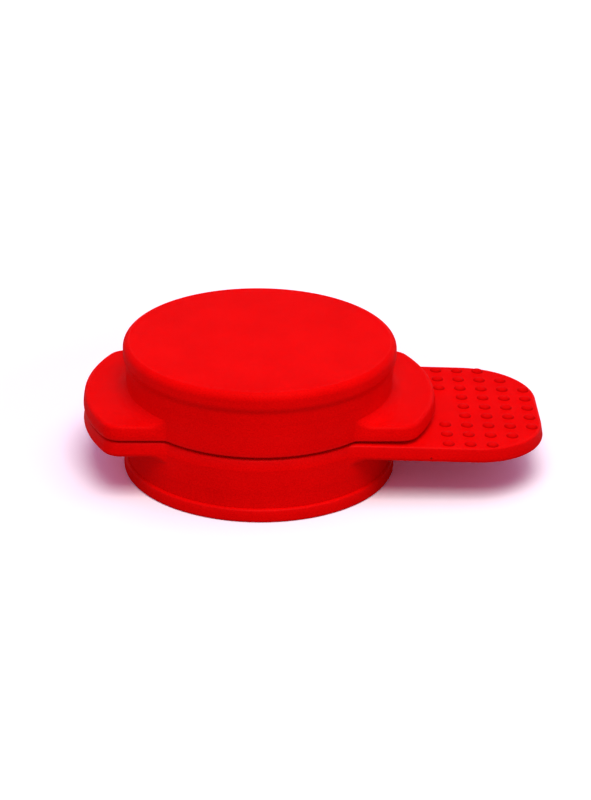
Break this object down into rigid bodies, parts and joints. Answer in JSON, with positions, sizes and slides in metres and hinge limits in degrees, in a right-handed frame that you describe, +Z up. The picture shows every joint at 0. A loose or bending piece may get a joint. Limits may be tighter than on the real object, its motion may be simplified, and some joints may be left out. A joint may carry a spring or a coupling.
{
  "type": "liquor pour spout",
  "caption": "Low round red pour spout for a bottle neck: a winged cap turns on a base with a studded thumb paddle to open a port valve and a side pour window.",
  "frame": {"origin": "centre of the neck socket's mouth, on the axis at the plane of the foot", "axes": "+X towards the tip of the thumb paddle, +Z up along the neck axis towards the cap's top, +Y towards the pour window of the shut cap"},
  "size_m": [0.0842, 0.0524, 0.025],
  "materials": {
    "red_plastic": "fine moulded grain, satin along the rounded edges",
    "black_rubber": "matte",
    "silicone": "milky satin",
    "white_acetal": "smooth satin",
    "steel": "turned and brushed",
    "brass": "turned"
  },
  "bodies": {
    "base": {"base_shell": "red_plastic", "foot_ring": "red_plastic", "neck_sleeve": "black_rubber", "neck_gasket": "silicone", "strainer": "steel", "seat_seal": "silicone", "skirt_seal": "black_rubber", "threaded_insert": "brass", "pivot_screw": "steel", "thrust_washer": "white_acetal", "spring_washer": "steel"},
    "cap": {"cap_shell": "red_plastic", "cap_cover": "red_plastic", "valve_plate": "white_acetal", "vent_tube": "steel"},
    "ball": {"vent_ball": "steel"}
  },
  "joints": [
    {"name": "cap_turn", "type": "hinge", "parent": "base", "child": "cap", "pos_m": [0, 0, 0.0166], "axis": [0, 0, 1], "range_deg": [0, 90]},
    {"name": "ball_lift", "type": "slide", "parent": "cap", "child": "ball", "axis": [0, 0, 1], "range_m": [0, 0.0028]}
  ]
}
